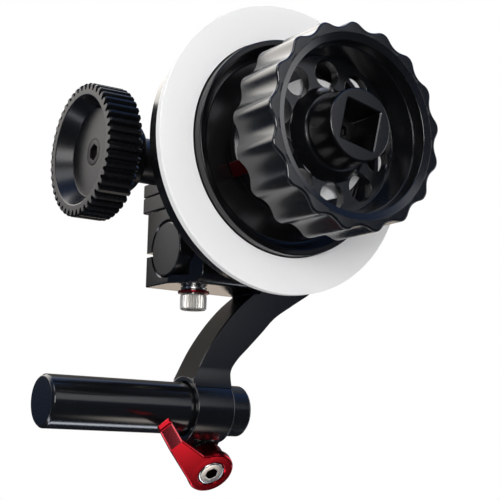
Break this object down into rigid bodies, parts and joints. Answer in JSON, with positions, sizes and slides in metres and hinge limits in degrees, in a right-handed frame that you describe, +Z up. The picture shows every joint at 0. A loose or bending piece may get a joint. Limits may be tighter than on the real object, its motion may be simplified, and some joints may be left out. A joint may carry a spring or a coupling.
{
  "type": "lens follow focus",
  "caption": "Follow focus on a rod clamp: a scalloped handwheel with a white marking disk turns a toothed drive gear through a right-angle gearbox.",
  "frame": {"origin": "on the support rod's axis, straight below the handwheel's axis", "axes": "+X along the support rod and the gear shaft, away from the drive gear; -Y towards the person who turns the handwheel; +Z up"},
  "size_m": [0.0904, 0.0925, 0.1343],
  "materials": {
    "rod_black": "smooth black anodised aluminium",
    "arm_black": "satin black anodised aluminium",
    "housing_black": "satin black anodised aluminium",
    "gear_black": "satin black anodised aluminium",
    "wheel_grey": "satin dark grey anodised aluminium",
    "socket_black": "black anodised aluminium",
    "gloss_black": "glossy black",
    "white_plastic": "matt white",
    "red_anodised": "bright red anodised aluminium",
    "bright_steel": "bright nickel-plated steel",
    "shaft_steel": "ground steel",
    "spacer_brass": "turned brass"
  },
  "bodies": {
    "arm": {"arm": "arm_black", "clamp_nut": "bright_steel", "lever_washer": "bright_steel", "thumbscrew_bush": "bright_steel"},
    "rod": {"support_rod": "rod_black"},
    "lever": {"clamp_lever": "red_anodised", "lever_screw": "bright_steel"},
    "thumbscrew": {"thumbscrew_knob": "bright_steel", "thumbscrew_shank": "bright_steel", "thumbscrew_collar": "red_anodised"},
    "gearbox": {"slide_bar": "arm_black", "gearbox_base": "housing_black", "gearbox_housing": "housing_black", "gearbox_cover": "housing_black", "neck_screw_1": "bright_steel", "neck_screw_2": "bright_steel", "base_screw_1": "bright_steel", "base_screw_2": "bright_steel", "base_screw_3": "bright_steel", "base_screw_4": "bright_steel", "cover_screw_1": "bright_steel", "cover_screw_2": "bright_steel", "cover_screw_3": "bright_steel", "wheel_bearing_front": "shaft_steel", "wheel_bearing_back": "shaft_steel", "wheel_bearing_spacer": "spacer_brass", "gear_bearing_outer": "shaft_steel", "gear_bearing_inner": "shaft_steel", "gear_bearing_spacer": "spacer_brass"},
    "wheel": {"handwheel": "wheel_grey", "crank_socket": "socket_black", "socket_screw": "bright_steel", "thrust_washer": "white_plastic", "disk_hub": "gloss_black", "marking_disk": "white_plastic", "index_tab": "red_anodised", "wheel_shaft": "shaft_steel", "wheel_bevel_gear": "shaft_steel"},
    "drive": {"drive_gear": "gear_black", "gear_flange": "housing_black", "gear_screw": "bright_steel", "gear_shaft": "shaft_steel", "gear_bevel_pinion": "shaft_steel"}
  },
  "joints": [
    {"name": "rod_slide", "type": "slide", "parent": "arm", "child": "rod", "axis": [1, 0, 0], "range_m": [-0.007, 0.04]},
    {"name": "lever_turn", "type": "hinge", "parent": "arm", "child": "lever", "pos_m": [0.003, -0.00136, -0.01642], "axis": [0, -0.7547, -0.6561], "range_deg": [-15, 120]},
    {"name": "thumbscrew_turn", "type": "hinge", "parent": "arm", "child": "thumbscrew", "pos_m": [-0.0062, -0.006, 0.03], "axis": [0, 0, -1], "range_deg": [0, 720]},
    {"name": "gearbox_slide", "type": "slide", "parent": "arm", "child": "gearbox", "axis": [1, 0, 0], "range_m": [-0.006, 0.006]},
    {"name": "wheel_spin", "type": "hinge", "parent": "gearbox", "child": "wheel", "pos_m": [0, -0.05, 0.07], "axis": [0, 1, 0], "continuous": true},
    {"name": "drive_spin", "type": "hinge", "parent": "gearbox", "child": "drive", "pos_m": [-0.03, -0.006, 0.07], "axis": [1, 0, 0], "continuous": true}
  ],
  "couplings": [
    {"joint": "drive_spin", "follows": "wheel_spin", "ratio": -1}
  ]
}
